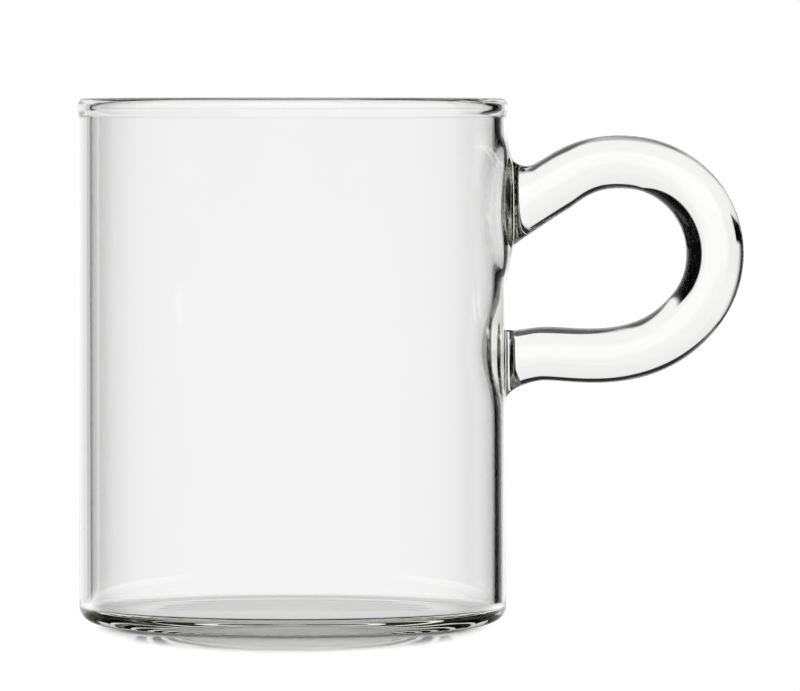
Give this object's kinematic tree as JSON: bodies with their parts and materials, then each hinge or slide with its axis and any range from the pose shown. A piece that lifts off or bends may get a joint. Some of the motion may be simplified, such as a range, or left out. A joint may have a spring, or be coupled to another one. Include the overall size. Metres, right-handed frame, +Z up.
{
  "type": "coffee cup",
  "caption": "Straight-sided clear glass coffee cup with a melted rim bead, a flat base and a one-finger loop handle bent from a solid glass rod.",
  "frame": {"origin": "on the cup's axis, at the underside of the flat base", "axes": "+Z up along the cup's axis, +X from the axis towards the handle, +Y across the handle"},
  "size_m": [0.101, 0.0656, 0.08],
  "materials": {
    "tube_glass": "clear borosilicate tube, drawn and fire polished",
    "rod_glass": "clear borosilicate rod, bent in the flame and fire polished"
  },
  "bodies": {
    "root": {"base_dish": "tube_glass", "cup_wall": "tube_glass", "rim_bead": "tube_glass", "handle_rod": "rod_glass", "lower_weld": "rod_glass", "upper_weld": "rod_glass"}
  },
  "joints": []
}
